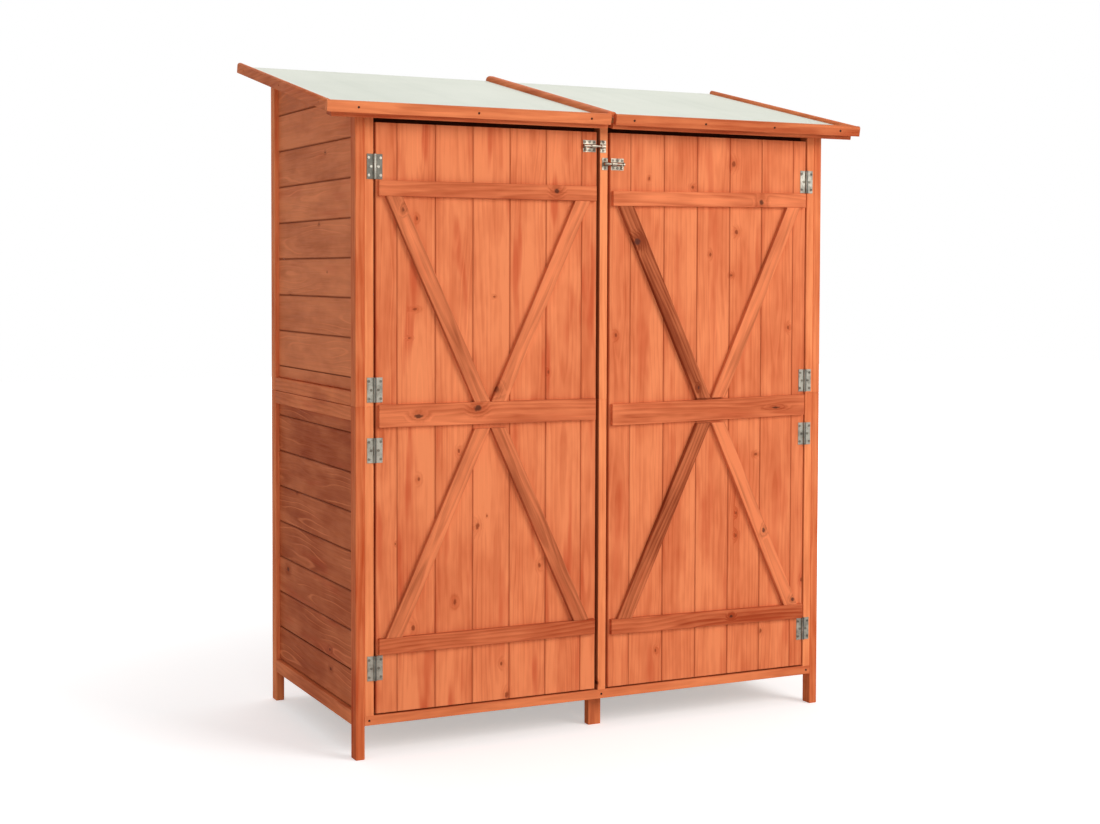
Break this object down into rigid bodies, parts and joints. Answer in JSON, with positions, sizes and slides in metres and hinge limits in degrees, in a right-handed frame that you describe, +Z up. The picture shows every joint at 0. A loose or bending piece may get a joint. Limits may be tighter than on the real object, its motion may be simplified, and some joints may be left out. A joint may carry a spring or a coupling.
{
  "type": "wooden garden shed",
  "caption": "Small board-clad garden shed on short legs with a lean-to roof and two braced doors that swing outward on butt hinges, each held by a sliding barrel bolt.",
  "frame": {"origin": "on the ground, under the middle of the whole shed", "axes": "+X along the front to the right as seen from the front, +Y to the back, +Z up"},
  "size_m": [1.498, 0.7796, 1.7495],
  "materials": {
    "post_wood": "stained, slightly weathered",
    "door_wood": "stained, slightly weathered",
    "ledge_wood": "stained, slightly weathered",
    "siding_wood": "stained, slightly weathered",
    "floor_wood": "sawn",
    "trim_wood": "stained, slightly weathered",
    "roof_sheet": "smooth pale grey-green roofing",
    "hinge_steel": "zinc plated",
    "bolt_steel": "zinc plated"
  },
  "bodies": {
    "root": {"front_left_post": "post_wood", "front_right_post": "post_wood", "rear_left_post": "post_wood", "rear_right_post": "post_wood", "sill": "trim_wood", "left_hinge_stile": "trim_wood", "right_hinge_stile": "trim_wood", "centre_stile": "trim_wood", "centre_splice_board": "floor_wood", "left_side_rails": "trim_wood", "right_side_rails": "trim_wood", "left_siding": "siding_wood", "right_siding": "siding_wood", "back_rails": "trim_wood", "back_siding": "siding_wood", "floor_bearers": "floor_wood", "floor_boards": "floor_wood", "centre_leg": "post_wood", "front_top_rail": "trim_wood", "left_roof_deck": "floor_wood", "right_roof_deck": "floor_wood", "left_roof_sheet": "roof_sheet", "right_roof_sheet": "roof_sheet", "left_fascia": "trim_wood", "right_fascia": "trim_wood", "left_barge_board": "trim_wood", "right_barge_board": "trim_wood", "cover_batten": "trim_wood", "eaves_battens": "trim_wood", "left_frame_hinges": "hinge_steel", "right_frame_hinges": "hinge_steel", "left_keeper": "bolt_steel", "right_keeper": "bolt_steel"},
    "left_door": {"left_door_boards": "door_wood", "left_door_ledges": "ledge_wood", "left_door_braces": "ledge_wood", "left_door_hinges": "hinge_steel", "left_bolt_plate": "bolt_steel"},
    "right_door": {"right_door_boards": "door_wood", "right_door_ledges": "ledge_wood", "right_door_braces": "ledge_wood", "right_door_hinges": "hinge_steel", "right_bolt_plate": "bolt_steel"},
    "left_bolt": {"left_bolt": "bolt_steel"},
    "right_bolt": {"right_bolt": "bolt_steel"}
  },
  "joints": [
    {"name": "left_door_swing", "type": "hinge", "parent": "root", "child": "left_door", "pos_m": [-0.6085, -0.32018, 0.8], "axis": [0, 0, -1], "range_deg": [0, 110]},
    {"name": "right_door_swing", "type": "hinge", "parent": "root", "child": "right_door", "pos_m": [0.6245, -0.32018, 0.8], "axis": [0, 0, 1], "range_deg": [0, 110]},
    {"name": "left_bolt_slide", "type": "slide", "parent": "left_door", "child": "left_bolt", "axis": [1, 0, 0], "range_m": [0, 0.013]},
    {"name": "right_bolt_slide", "type": "slide", "parent": "right_door", "child": "right_bolt", "axis": [-1, 0, 0], "range_m": [0, 0.013]}
  ]
}
